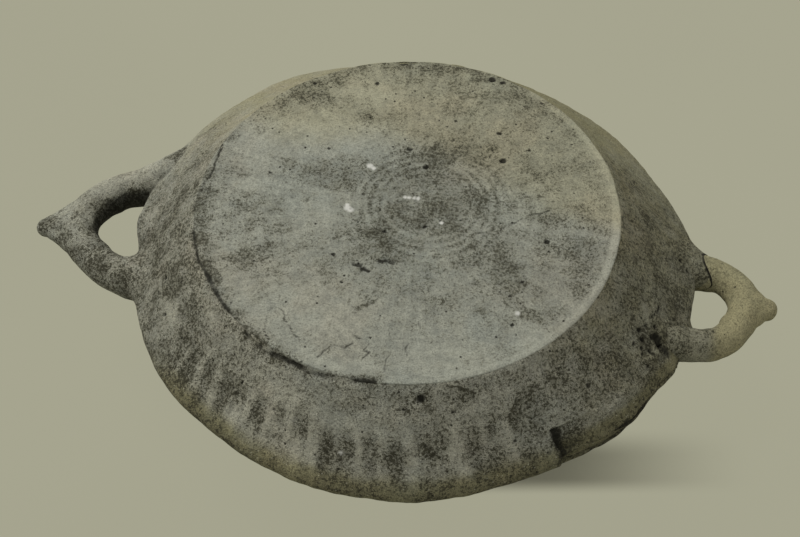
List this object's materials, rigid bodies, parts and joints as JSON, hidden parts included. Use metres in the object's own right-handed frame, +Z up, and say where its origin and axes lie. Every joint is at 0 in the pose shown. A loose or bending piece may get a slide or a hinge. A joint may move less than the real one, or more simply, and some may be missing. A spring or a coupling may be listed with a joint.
{
  "type": "pilgrim flask",
  "caption": "Large lens-shaped clay flask lying on its back, with a flat front disc, sloping wall, short neck behind and a pointed loop handle on each side.",
  "frame": {"origin": "centre of the flat resting base at the back of the flask", "axes": "+X through the shorter handle, +Y through the neck, +Z up through the flat front face"},
  "size_m": [0.407, 0.326, 0.125],
  "materials": {
    "back_clay": "rough unglazed, dark speckled",
    "wall_clay": "rough unglazed, mottled grey",
    "disc_clay": "rough unglazed, pale grey with wheel marks",
    "band_clay": "rough unglazed, olive grey",
    "inner_clay": "rough unglazed",
    "neck_clay": "rough unglazed",
    "pale_handle_clay": "rough unglazed, pale yellowish",
    "dark_handle_clay": "rough unglazed, dark mottled",
    "right_wad_clay": "rough unglazed",
    "left_wad_clay": "rough unglazed"
  },
  "bodies": {
    "root": {"back_shell": "back_clay", "front_wall": "wall_clay", "front_disc": "disc_clay", "seam_band": "band_clay", "seam_coil": "inner_clay", "neck": "neck_clay", "neck_collar": "neck_clay", "handle_right": "pale_handle_clay", "handle_left": "dark_handle_clay", "wad_right_far": "right_wad_clay", "wad_right_near": "right_wad_clay", "wad_left_far": "left_wad_clay", "wad_left_near": "left_wad_clay"}
  },
  "joints": []
}
